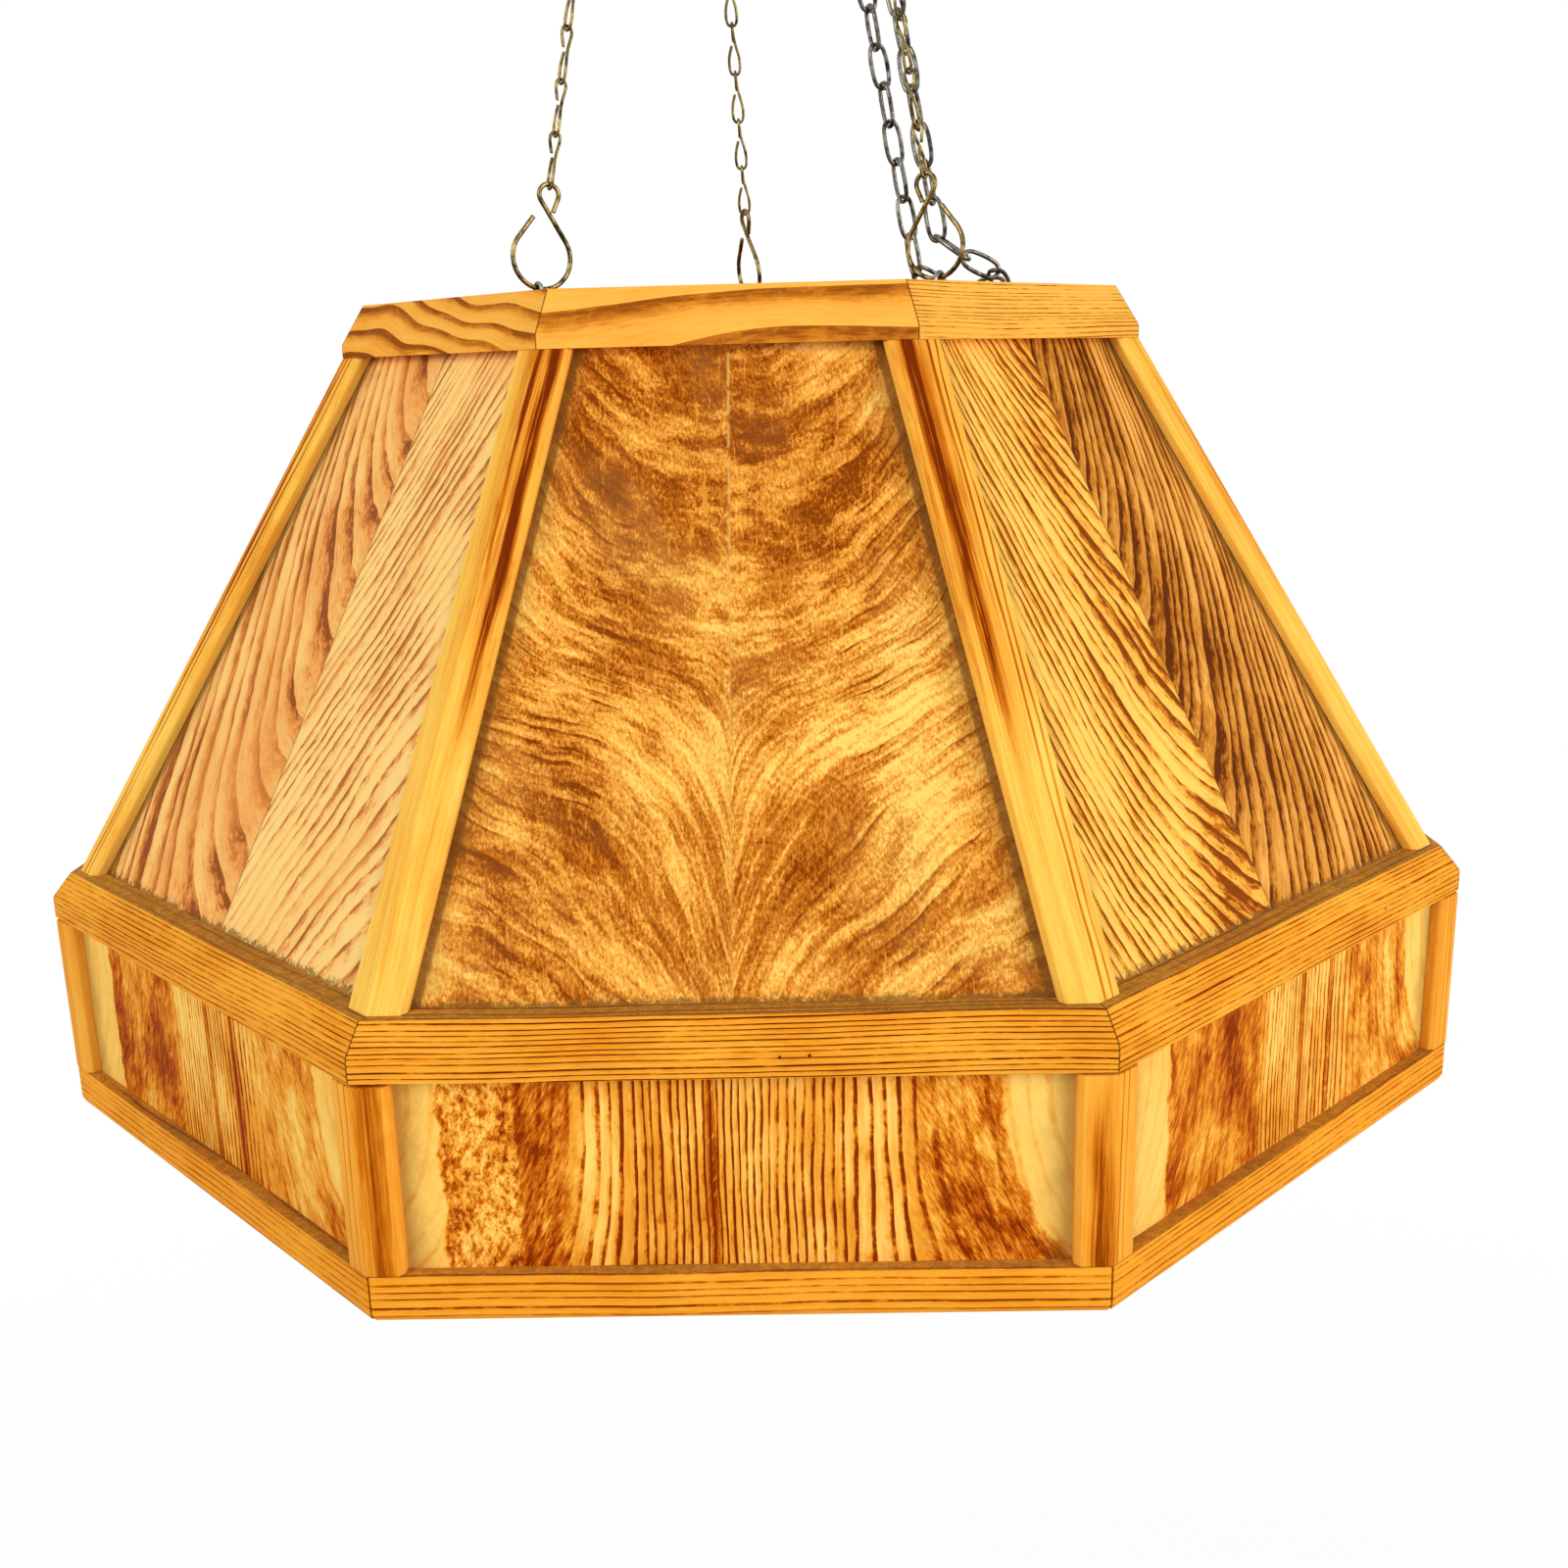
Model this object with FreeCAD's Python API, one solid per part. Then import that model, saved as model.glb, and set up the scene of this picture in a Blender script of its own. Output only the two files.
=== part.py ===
import FreeCAD, Part
import math
import os

V = FreeCAD.Vector
UP = V(0, 0, 1)

# An eight-sided pine pendant light on three jack chains.
# All sizes are in millimetres. Z points up and z = 0 is the ceiling, on the lamp's axis.

# Plan of the shade
SIDES = 8
FRONT = -90.0                 # direction that side 1 faces, in degrees
WAIST_FLATS = 628.0           # across the flats at the waist band
CAP_FLATS = 354.0             # across the flats at the foot of the cap moulding

# Heights, from the open foot to the cap
RAIL_HEIGHT = 13.6
SKIRT_HEIGHT = 73.0
BAND_HEIGHT = 19.8
SLOPE_HEIGHT = 221.0
CAP_HEIGHT = 22.5

# Boards and mouldings
PANEL_THICKNESS = 6.0
TRIM_PROUD = 6.0              # how far ribs and posts stand out of the panels
TRIM_LEG = 13.5               # width of each leg of the corner moulding
TRIM_BEVEL = 2.0
RAIL_DEPTH = 18.0
RAIL_BEVEL = 4.0
BAND_DEPTH = 30.0
BAND_INSET = 8.0              # how far the band's face leans in at its top
BAND_LIP = 9.5                # upright part of the band's face
BAND_LEDGE = 10.5             # band top in front of the sloping panels
CAP_LIP = 5.5
CAP_INSET = 10.0
CAP_DEPTH = 30.0
KNEE_RADIUS = 4.0             # soft edge between lip and slope
POST_GAP = 1.2                # shadow gap over each post

# Top board and its seat in the cap
BOARD_THICKNESS = 12.0
BOARD_SINK = 2.5              # board top below cap top
BOARD_SEAT = 8.0              # width of the ledge that carries the board
BOARD_PLAY = 0.2

# Suspension
PLAY = 0.3                    # between wires that hang in one another
HOOK_WIRE = 4.6
HOOK_BEND = 12.0
HOOK_NECK_BEND = 7.0
HOOK_NECK = 5.0
HOOK_SHANK = 28.0
HOOK_MOUTH = 35.0             # rise of the hook's tip over its middle, in degrees
COLLAR_RADIUS = 6.0
COLLAR_THICKNESS = 2.0
DEE_WIRE = 2.6
DEE_HALF = 27.0               # half of the straight bar that the chains hang on, and its corners
DEE_CORNER = 5.0
EYE_CIRCLE = 105.0
EYE_ANGLES = {"front_left": -150.0, "back": 90.0, "front_right": -30.0}  # in degrees, from the right on
EYE_WIRE = 2.0
EYE_RADIUS = 4.5
EYE_STEM = 1.0
EYE_SCREW = 10.0
S_WIRE = 2.2
S_LARGE = 13.7                # bend radius of the open end
S_SMALL = 4.6                 # bend radius of the closed end
S_CENTRES = 27.5
S_TIP = 30.0                  # where the open bend runs out into its straight tip, in degrees
S_TIP_LENGTH = 11.5
S_CLOSE = 195.0               # where the closed bend runs out into a leg back to the hook's middle, in degrees
S_ANGLES = {"front_left": 0.0, "back": 25.0, "front_right": 0.0}  # turn of each hook in its eye, in degrees
JACK_WIRE = 1.5
JACK_LINKS = 20
JACK_PITCH = 22.8
JACK_SMALL = 2.45             # half width of a link's small upper loop
JACK_LARGE = 2.8              # half width of its long lower loop
JACK_UPPER = 10.0             # height of the small loop over the waist
JACK_TAPER = 6.0              # from the waist to the full width of a loop
JACK_WAIST = 1.0
JACK_END = 0.7                # straight end of the wire beside the waist
JACK_SEATS = {"back": -17.0, "front_left": -11.5, "front_right": 19.5}
SPARE_WIRE = 2.1
SPARE_HALF = 4.25             # half width of a spare chain link
SPARE_PITCH = 17.1
SPARE_SEATS = (8.0, -4.0)
SPARE_DRAW = 0.6              # how much closer the bent joints of the slack lie
SPARE_FOOT_RIGHT = 92.0       # where the outer strand comes down, right of the axis and in front of it
SPARE_FOOT_FRONT = 30.0
SPARE_SLACK = (
    (-25.0, -35.0), (22.0, -22.0), (72.0, -20.0),
    (128.0, -2.0), (178.0, 3.0), (207.0, 25.0))  # heading and rise of each slack link, in degrees
WIRE_SIDES = 5
BEND_STEPS = 3

# Lampholder and bulb
NIPPLE_RADIUS = 5.0
NIPPLE_BORE = 3.5
NIPPLE_OVER = 9.0
NIPPLE_INTO = 9.0
NIPPLE_FIT = 0.2
NUT_FLATS = 14.0
NUT_THICKNESS = 4.0
WASHER_RADIUS = 11.0
WASHER_THICKNESS = 1.5
HOLDER_RADIUS = 20.0
HOLDER_NECK = 9.0
HOLDER_CAP_HEIGHT = 26.0
HOLDER_SLEEVE = 34.0
HOLDER_WALL = 2.2
CORE_THICKNESS = 9.0
SHELL_RADIUS = 13.5           # inside of the threaded shell
SHELL_WALL = 0.8
SHELL_LENGTH = 24.0
TONGUE_RADIUS = 4.0
TONGUE_THICKNESS = 2.0
BULB_PLAY = 0.4
BULB_BASE_LENGTH = 25.0
BULB_BASE_WALL = 0.8
BULB_TIP_RADIUS = 5.0
BULB_TIP_HEIGHT = 3.0
BULB_RADIUS = 30.0
BULB_REACH = 76.0             # from the base's rim to the end of the glass
BULB_INSERT = 6.0
BULB_GLASS = 0.9

# Derived plan
corner = math.pi / SIDES
waist = WAIST_FLATS / 2
cap_foot = CAP_FLATS / 2
skirt_face = waist - TRIM_PROUD
slope_foot = waist - BAND_INSET - BAND_LEDGE


def slope_of(run, rise):
    return math.atan2(run, rise)


# The ribs end flush with the cap, so the panels there lie behind by the ribs' level thickness.
lean = slope_of(slope_foot - cap_foot, SLOPE_HEIGHT)
for _ in range(6):
    slope_head = cap_foot - TRIM_PROUD / math.cos(lean)
    lean = slope_of(slope_foot - slope_head, SLOPE_HEIGHT)
level_panel = PANEL_THICKNESS / math.cos(lean)
level_trim = TRIM_PROUD / math.cos(lean)

# Derived levels, from the ceiling down
hook_middle = -HOOK_NECK - math.sqrt((HOOK_BEND + HOOK_NECK_BEND) ** 2 - HOOK_NECK_BEND ** 2)
hook_seat = hook_middle - HOOK_BEND
dee_head = hook_seat + HOOK_WIRE / 2 + PLAY + DEE_WIRE / 2
dee_bar = dee_head - DEE_HALF - DEE_CORNER
jack_length = JACK_PITCH + JACK_WIRE + PLAY
jack_foot = JACK_UPPER - jack_length
s_length = S_LARGE + S_CENTRES + S_SMALL
jack_start = -(DEE_WIRE + JACK_WIRE) / 2 - PLAY
s_start = jack_start + (JACK_LINKS - 1) * JACK_PITCH + jack_length - (JACK_WIRE + S_WIRE) / 2 - PLAY
drop = math.sqrt((s_start + s_length) ** 2 - EYE_CIRCLE ** 2)
s_seat = dee_bar - drop
eye_head = s_seat + (EYE_WIRE + S_WIRE) / 2 + PLAY
eye_middle = eye_head - EYE_RADIUS
board_top = eye_middle - EYE_RADIUS - EYE_WIRE / 2 - EYE_STEM
board_foot = board_top - BOARD_THICKNESS
cap_top = board_top + BOARD_SINK
slope_top = cap_top - CAP_HEIGHT
band_top = slope_top - SLOPE_HEIGHT
skirt_top = band_top - BAND_HEIGHT
rail_top = skirt_top - SKIRT_HEIGHT
foot = rail_top - RAIL_HEIGHT
board_edge = cap_foot - CAP_DEPTH + BOARD_SEAT


def rounded(points, radii, closed=False):
    """Edges through the points, with a tangent arc of the given radius at each corner."""
    corners = []
    for i, point in enumerate(points):
        if radii[i] == 0:
            corners.append((point, None, point))
            continue
        before = (points[i - 1] - point).normalize()
        after = (points[(i + 1) % len(points)] - point).normalize()
        half = before.getAngle(after) / 2
        reach = radii[i] / math.tan(half)
        inward = (before + after).normalize()
        middle = point + inward * (radii[i] / math.sin(half) - radii[i])
        corners.append((point + before * reach, middle, point + after * reach))
    edges = []
    for i, (start, middle, end) in enumerate(corners):
        if middle is not None:
            edges.append(Part.Arc(start, middle, end).toShape())
        if closed or i < len(corners) - 1:
            following = corners[(i + 1) % len(corners)][0]
            if end.distanceToPoint(following) > 1e-6:
                edges.append(Part.makeLine(end, following))
    return edges


def turned(profile):
    """A solid of revolution about Z from (radius, z) points."""
    outline = Part.makePolygon([V(r, 0, z) for r, z in profile + profile[:1]])
    return Part.Face(outline).revolve(V(0, 0, 0), UP, 360)


def tube(outer, inner, low, high):
    return turned([(inner, low), (outer, low), (outer, high), (inner, high)])


def direction(degrees):
    return V(math.cos(math.radians(degrees)), math.sin(math.radians(degrees)), 0)


def framed(shape, along, side, at):
    """A copy of the shape with its local Z along one direction and its local X towards another."""
    z = V(along).normalize()
    x = (side - z * side.dot(z)).normalize()
    y = z.cross(x)
    placed = shape.copy()
    placed.Placement = FreeCAD.Placement(FreeCAD.Matrix(
        x.x, y.x, z.x, at.x,
        x.y, y.y, z.y, at.y,
        x.z, y.z, z.z, at.z,
        0, 0, 0, 1))
    return placed


def round_wire(edges, thickness):
    """A round wire bent along tangent lines and arcs."""
    first = edges[0]
    start = first.valueAt(first.FirstParameter)
    along = first.tangentAt(first.FirstParameter)
    section = Part.Face(Part.Wire([Part.makeCircle(thickness / 2, start, along)]))
    return Part.Wire(edges).makePipe(section)


def flat_wire(points, thickness, closed=False):
    """A wire with a few flats round it, mitred at each bend."""
    count = len(points)
    ahead = [(points[(i + 1) % count] - points[i]).normalize() for i in range(count)]
    if closed:
        planes = [ahead[i - 1] + ahead[i] for i in range(count)]
    else:
        middle = [ahead[i - 1] + ahead[i] for i in range(1, count - 1)]
        planes = [ahead[0]] + middle + [ahead[count - 2]]
    side = V(0.31, 0.87, 0.38).cross(ahead[0]).normalize()
    other = ahead[0].cross(side)
    angles = [2 * math.pi * k / WIRE_SIDES for k in range(WIRE_SIDES)]
    ring = [points[0] + (side * math.cos(a) + other * math.sin(a)) * (thickness / 2) for a in angles]

    def slid(vertices, along, point, normal):
        return [v + along * ((point - v).dot(normal) / along.dot(normal)) for v in vertices]

    rings = [slid(ring, ahead[0], points[0], planes[0])]
    for i in range(1, count):
        rings.append(slid(rings[-1], ahead[i - 1], points[i], planes[i]))
    pairs = list(zip(rings, rings[1:]))
    faces = []
    if closed:
        pairs.append((rings[-1], rings[0]))
    else:
        faces.append(Part.Face(Part.makePolygon(rings[0][::-1] + rings[0][-1:])))
        faces.append(Part.Face(Part.makePolygon(rings[-1] + rings[-1][:1])))
    for low, high in pairs:
        for k in range(WIRE_SIDES):
            after = (k + 1) % WIRE_SIDES
            quad = [low[k], low[after], high[after], high[k], low[k]]
            faces.append(Part.Face(Part.makePolygon(quad)))
    return Part.Solid(Part.Shell(faces))


def bend(radius):
    """Corners of a half turn of straight steps, as (sideways, outwards) pairs from +radius to -radius."""
    step = math.pi / (BEND_STEPS + 1)
    reach = radius / math.cos(step / 2)
    angles = [(k + 0.5) * step for k in range(BEND_STEPS + 1)]
    return [(reach * math.cos(a), reach * math.sin(a)) for a in angles]


# Wooden shade

wedge_reach = WAIST_FLATS
wedge = Part.Face(Part.makePolygon([
    V(0, 0, foot - RAIL_HEIGHT),
    V(wedge_reach, -wedge_reach * math.tan(corner), foot - RAIL_HEIGHT),
    V(wedge_reach, wedge_reach * math.tan(corner), foot - RAIL_HEIGHT),
    V(0, 0, foot - RAIL_HEIGHT)])).extrude(UP * (cap_top - foot + 2 * RAIL_HEIGHT))


def round_the_sides(piece):
    """One copy of a piece for each side, from side 1 at the front on to the right."""
    copies = []
    for i in range(SIDES):
        turned_piece = piece.copy()
        turned_piece.rotate(V(0, 0, 0), UP, FRONT + i * 360 / SIDES)
        copies.append(turned_piece)
    return copies


def mitred(profile, radii=None):
    """One side of a frame: a profile of (distance from the axis, z) points, mitred at both ends."""
    points = [V(a, -wedge_reach, z) for a, z in profile]
    edges = rounded(points, radii or [0] * len(points), closed=True)
    return Part.Face(Part.Wire(edges)).extrude(V(0, 2 * wedge_reach, 0)).common(wedge).Solids[0]


def rail():
    inner = waist - RAIL_DEPTH
    return mitred([
        (inner, foot), (waist - RAIL_BEVEL, foot), (waist, foot + RAIL_BEVEL),
        (waist, rail_top), (inner, rail_top)])


def skirt_panel():
    inner = skirt_face - PANEL_THICKNESS
    return mitred([(inner, rail_top), (skirt_face, rail_top), (skirt_face, skirt_top), (inner, skirt_top)])


def band():
    inner = waist - BAND_DEPTH
    profile = [
        (inner, skirt_top), (waist, skirt_top), (waist, skirt_top + BAND_LIP),
        (waist - BAND_INSET, band_top), (inner, band_top)]
    return mitred(profile, [0, 0, KNEE_RADIUS, 0, 0])


def shade_panel():
    return mitred([
        (slope_foot - level_panel, band_top), (slope_foot, band_top),
        (slope_head, slope_top), (slope_head - level_panel, slope_top)])


def cap():
    inner = cap_foot - CAP_DEPTH
    profile = [
        (inner, slope_top), (cap_foot, slope_top), (cap_foot, slope_top + CAP_LIP),
        (cap_foot - CAP_INSET, cap_top), (board_edge, cap_top),
        (board_edge, board_foot), (inner, board_foot)]
    return mitred(profile, [0, 0, KNEE_RADIUS, 0, 0, 0, 0])


def corner_moulding(face, proud, leg, bevel, low, climb):
    """A moulding over the corner to the right of side 1's place, on panels whose face is given."""
    axis = direction(math.degrees(corner))
    along_side = V(0, 1, 0)
    inner_corner = V(face, face * math.tan(corner), low)
    outer_corner = V(face + proud, (face + proud) * math.tan(corner), low)
    leg_edge = outer_corner - along_side * leg
    half = [
        outer_corner,
        leg_edge + along_side * bevel,
        leg_edge - V(bevel * proud / TRIM_PROUD, 0, 0),
        leg_edge - V(proud, 0, 0),
        inner_corner]
    across = V(-axis.y, axis.x, 0)
    mirrored = [p - across * (2 * across.dot(p)) for p in half[1:-1]]
    outline = half + mirrored[::-1]
    return Part.Face(Part.makePolygon(outline + outline[:1])).extrude(climb)


def rib():
    rise = V(slope_head - slope_foot, (slope_head - slope_foot) * math.tan(corner), SLOPE_HEIGHT)
    level_leg = TRIM_LEG / math.cos(math.atan2(abs(rise.y), math.hypot(rise.x, rise.z)))
    return corner_moulding(slope_foot, level_trim, level_leg, TRIM_BEVEL, band_top, rise)


def post():
    climb = UP * (SKIRT_HEIGHT - POST_GAP)
    return corner_moulding(skirt_face, TRIM_PROUD, TRIM_LEG, TRIM_BEVEL, rail_top, climb)


def top_board():
    edge = board_edge - BOARD_PLAY
    radius = edge / math.cos(corner)
    corners = [direction(math.degrees(corner) * (2 * i + 1)) * radius + UP * board_foot for i in range(SIDES)]
    board = Part.Face(Part.makePolygon(corners + corners[:1])).extrude(UP * BOARD_THICKNESS)
    holes = [Part.makeCylinder(NIPPLE_RADIUS + NIPPLE_FIT, BOARD_THICKNESS, UP * board_foot)]
    for degrees in EYE_ANGLES.values():
        place = direction(degrees) * EYE_CIRCLE + UP * (board_top - EYE_SCREW)
        holes.append(Part.makeCylinder(EYE_WIRE / 2, EYE_SCREW, place))
    return board.cut(Part.makeCompound(holes)).Solids[0]


# Suspension

def ceiling_hook():
    """A shouldered screw hook in the YZ plane, its seat under its shank."""
    neck = V(0, HOOK_NECK_BEND, -HOOK_NECK)
    middle = V(0, 0, hook_middle)
    towards = (middle - neck).normalize()
    touch = neck + towards * HOOK_NECK_BEND
    neck_turn = math.atan2(towards.z, towards.y)
    half_way = (math.pi + (neck_turn + 2 * math.pi)) / 2
    neck_middle = neck + V(0, math.cos(half_way), math.sin(half_way)) * HOOK_NECK_BEND
    tip_turn = math.radians(180 - HOOK_MOUTH)
    tip = middle + V(0, math.cos(tip_turn), math.sin(tip_turn)) * HOOK_BEND
    edges = [
        Part.makeLine(V(0, 0, HOOK_SHANK), V(0, 0, -HOOK_NECK)),
        Part.Arc(V(0, 0, -HOOK_NECK), neck_middle, touch).toShape(),
        Part.Arc(touch, V(0, 0, hook_seat), tip).toShape()]
    collar = Part.makeCylinder(COLLAR_RADIUS, COLLAR_THICKNESS, V(0, 0, -COLLAR_THICKNESS))
    return round_wire(edges, HOOK_WIRE).fuse(collar).removeSplitter().Solids[0]


def dee_ring():
    """A D-shaped ring in the XZ plane, hung by the top of its bow."""
    middle = dee_head - DEE_HALF
    left, right = V(-DEE_HALF, 0, middle), V(DEE_HALF, 0, middle)
    base_corners = [left, V(-DEE_HALF, 0, dee_bar), V(DEE_HALF, 0, dee_bar), right]
    base = rounded(base_corners, [0, DEE_CORNER, DEE_CORNER, 0])
    bow = Part.Arc(right, V(0, 0, dee_head), left).toShape()
    return round_wire(base + [bow], DEE_WIRE)


def screw_eye(degrees):
    outwards = direction(degrees)
    place = outwards * EYE_CIRCLE
    ring = Part.makeTorus(EYE_RADIUS, EYE_WIRE / 2, place + UP * eye_middle, outwards)
    stem_foot = board_top - EYE_SCREW
    stem = Part.makeCylinder(EYE_WIRE / 2, eye_middle - EYE_RADIUS - stem_foot, place + UP * stem_foot)
    return ring.fuse(stem).Solids[0]


def s_hook():
    """An S-hook in its own XZ plane, with the middle of its open bend at the origin."""
    swing = math.acos((S_LARGE + S_SMALL) / S_CENTRES)
    leave = V(-S_LARGE * math.sin(swing), 0, S_LARGE * math.cos(swing))
    meet = V(S_SMALL * math.sin(swing), 0, S_CENTRES - S_SMALL * math.cos(swing))
    tip, close = math.radians(S_TIP), math.radians(S_CLOSE)
    bend_end = V(math.cos(tip), 0, math.sin(tip)) * S_LARGE
    tip_end = bend_end + V(-math.sin(tip), 0, math.cos(tip)) * S_TIP_LENGTH
    loop_end = V(math.cos(close), 0, math.sin(close)) * S_SMALL + UP * S_CENTRES
    leg = V(-math.sin(close), 0, math.cos(close))
    along = (meet - leave).normalize()
    aside = V(-along.z, 0, along.x)
    room = S_WIRE / 2 * (1 + abs(leg.dot(along))) + PLAY
    leg_end = loop_end + leg * ((room - (loop_end - leave).dot(aside)) / leg.dot(aside))
    edges = [
        Part.makeLine(tip_end, bend_end),
        Part.Arc(bend_end, V(0, 0, -S_LARGE), leave).toShape(),
        Part.makeLine(leave, meet),
        Part.Arc(meet, V(0, 0, S_CENTRES + S_SMALL), loop_end).toShape(),
        Part.makeLine(loop_end, leg_end)]
    return round_wire(edges, S_WIRE)


def jack_link():
    """A figure-eight link: a small loop over the waist and a long loop under it, a quarter turn apart."""
    half = JACK_WAIST * 0.7
    upper = [V(-x, 0, JACK_UPPER - JACK_SMALL + z) for x, z in bend(JACK_SMALL)]
    lower = [V(0, -y, jack_foot + JACK_LARGE - z) for y, z in bend(JACK_LARGE)]
    points = [V(-JACK_WAIST, 0, half), V(-JACK_WAIST, 0, half + JACK_END)]
    points += [V(-JACK_SMALL, 0, JACK_TAPER)] + upper + [V(JACK_SMALL, 0, JACK_TAPER)]
    points += [V(half, -half, 0)]
    points += [V(0, -JACK_LARGE, -JACK_TAPER)] + lower + [V(0, JACK_LARGE, -JACK_TAPER)]
    points += [V(0, JACK_WAIST, -half - JACK_END), V(0, JACK_WAIST, -half)]
    return flat_wire(points, JACK_WIRE)


def spare_link():
    """An oval link along Z, as wide as its bends along X."""
    reach = (SPARE_PITCH + SPARE_WIRE + PLAY) / 2 - SPARE_HALF
    over = [V(x, 0, reach + z) for x, z in bend(SPARE_HALF)]
    under = [V(-x, 0, -reach - z) for x, z in bend(SPARE_HALF)]
    return flat_wire(over + under, SPARE_WIRE, closed=True)


def hung_chain(name, link, hook):
    """One jack chain and its S-hook, straight from the D-ring's bar to a screw eye."""
    degrees = EYE_ANGLES[name]
    outwards = direction(degrees)
    top = V(JACK_SEATS[name], 0, dee_bar)
    seat = outwards * EYE_CIRCLE + UP * s_seat
    line = top - seat
    upwards = V(line).normalize()
    pitch = JACK_PITCH + (line.Length - s_start - s_length) / (JACK_LINKS - 1)
    at_bar, at_eye = 90.0, degrees % 180
    links = []
    for i in range(JACK_LINKS):
        turn = at_bar + (at_eye - at_bar) * i / (JACK_LINKS - 1)
        waist_place = top - upwards * (jack_start + i * pitch + JACK_UPPER)
        links.append(framed(link, upwards, direction(turn), waist_place))
    hook_side = direction(degrees + S_ANGLES[name])
    return Part.makeCompound(links), framed(hook, upwards, hook_side, seat + upwards * S_LARGE)


def spare_strand(seat, end, end_width):
    """Joints and link widths of a straight strand, each link about a quarter turn from the one before it."""
    upwards = (seat - end).normalize()
    start = seat + upwards * ((DEE_WIRE + SPARE_WIRE) / 2 + PLAY - (SPARE_WIRE + PLAY) / 2)
    count = math.ceil((start - end).Length / SPARE_PITCH)
    joints = [start + (end - start) * (i / count) for i in range(count + 1)]
    first = (V(0, 1, 0) - upwards * upwards.y).normalize()
    needed = math.degrees(math.atan2(upwards.dot(first.cross(end_width)), first.dot(end_width)))
    astray = (needed - 90 * (count - 1) + 90) % 180 - 90
    step = 90 + astray / (count - 1)
    widths = [FreeCAD.Rotation(upwards, step * i).multVec(first) for i in range(count)]
    return joints, widths


def spare_chain(link):
    """The spare chain: from the D-ring's bar down to the top board, slack on it, and up again."""
    slack, slack_widths = [V(SPARE_FOOT_RIGHT, -SPARE_FOOT_FRONT, 0)], []
    for i, (heading, rise) in enumerate(SPARE_SLACK):
        along = direction(heading) * math.cos(math.radians(rise)) + UP * math.sin(math.radians(rise))
        level = UP.cross(along).normalize()
        slack_widths.append(along.cross(level) if i % 2 else level)
        slack.append(slack[-1] + along * (SPARE_PITCH - SPARE_DRAW))
    lying = board_top + SPARE_HALF + SPARE_WIRE / 2 + PLAY
    lift = UP * (lying - min(joint.z for joint in slack))
    slack = [joint + lift for joint in slack]
    seats = [V(x, 0, dee_bar) for x in SPARE_SEATS]
    down_turn = (slack[0] - seats[0]).cross(slack_widths[0]).normalize()
    down, down_widths = spare_strand(seats[0], slack[0], down_turn)
    up_turn = (slack[-1] - slack[-2]).cross(seats[1] - slack[-1]).normalize()
    up, up_widths = spare_strand(seats[1], slack[-1], up_turn)
    joints = down + slack[1:] + up[-2::-1]
    widths = down_widths + slack_widths + up_widths[::-1]
    links = []
    for start, end, width in zip(joints, joints[1:], widths):
        links.append(framed(link, end - start, width, (start + end) / 2))
    return Part.makeCompound(links)


# Lampholder and bulb

holder_foot = board_foot - HOLDER_CAP_HEIGHT
bulb_tip_top = holder_foot - TONGUE_THICKNESS - BULB_PLAY
base_top = bulb_tip_top - BULB_TIP_HEIGHT
base_rim = base_top - BULB_BASE_LENGTH
base_radius = SHELL_RADIUS - BULB_PLAY
neck_radius = base_radius - BULB_BASE_WALL - NIPPLE_FIT


def nut():
    radius = NUT_FLATS / 2 / math.cos(math.pi / 6)
    place = UP * (board_top + WASHER_THICKNESS)
    corners = [direction(60 * i) * radius + place for i in range(6)]
    block = Part.Face(Part.makePolygon(corners + corners[:1])).extrude(UP * NUT_THICKNESS)
    return block.cut(Part.makeCylinder(NIPPLE_RADIUS + NIPPLE_FIT, NUT_THICKNESS, place)).Solids[0]


def holder_cap():
    bore = NIPPLE_RADIUS + NIPPLE_FIT
    inside = HOLDER_RADIUS - HOLDER_WALL
    shoulder = board_foot - HOLDER_CAP_HEIGHT * 0.55
    return turned([
        (bore, board_foot), (HOLDER_NECK, board_foot), (HOLDER_NECK, board_foot - NIPPLE_INTO / 2),
        (HOLDER_RADIUS, shoulder), (HOLDER_RADIUS, holder_foot), (inside, holder_foot), (inside, shoulder),
        (HOLDER_NECK, board_foot - NIPPLE_INTO), (bore, board_foot - NIPPLE_INTO)])


def holder_sleeve():
    inside = HOLDER_RADIUS - HOLDER_WALL
    lip = SHELL_RADIUS + SHELL_WALL + NIPPLE_FIT
    low = holder_foot - HOLDER_SLEEVE
    return turned([
        (lip, holder_foot), (HOLDER_RADIUS, holder_foot), (HOLDER_RADIUS, low), (inside, low),
        (inside, holder_foot - HOLDER_WALL), (lip, holder_foot - HOLDER_WALL)])


def bulb_base():
    inside = base_radius - BULB_BASE_WALL
    return turned([
        (0, base_top), (base_radius, base_top), (base_radius, base_rim), (inside, base_rim),
        (inside, base_top - BULB_BASE_WALL), (0, base_top - BULB_BASE_WALL)])


def bulb_envelope(wall):
    """A pear-shaped bulb with an upright neck, smaller all round by the wall."""
    radius = BULB_RADIUS - wall
    neck = neck_radius - wall
    top = base_rim + BULB_INSERT
    middle = base_rim - BULB_REACH + BULB_RADIUS
    shoulder = BULB_RADIUS / 2
    widest, end = V(radius, 0, middle), V(0, 0, middle - radius)
    flank = [V(neck, 0, top), V(neck, 0, base_rim - BULB_INSERT), V(radius, 0, middle + shoulder), widest]
    outline = rounded(flank, [0, shoulder, shoulder, 0])
    low = math.sqrt(0.5) * radius
    outline.append(Part.Arc(widest, V(low, 0, middle - low), end).toShape())
    outline.append(Part.makeLine(end, V(0, 0, top)))
    outline.append(Part.makeLine(V(0, 0, top), V(neck, 0, top)))
    return Part.Face(Part.Wire(outline)).revolve(V(0, 0, 0), UP, 360)


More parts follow.
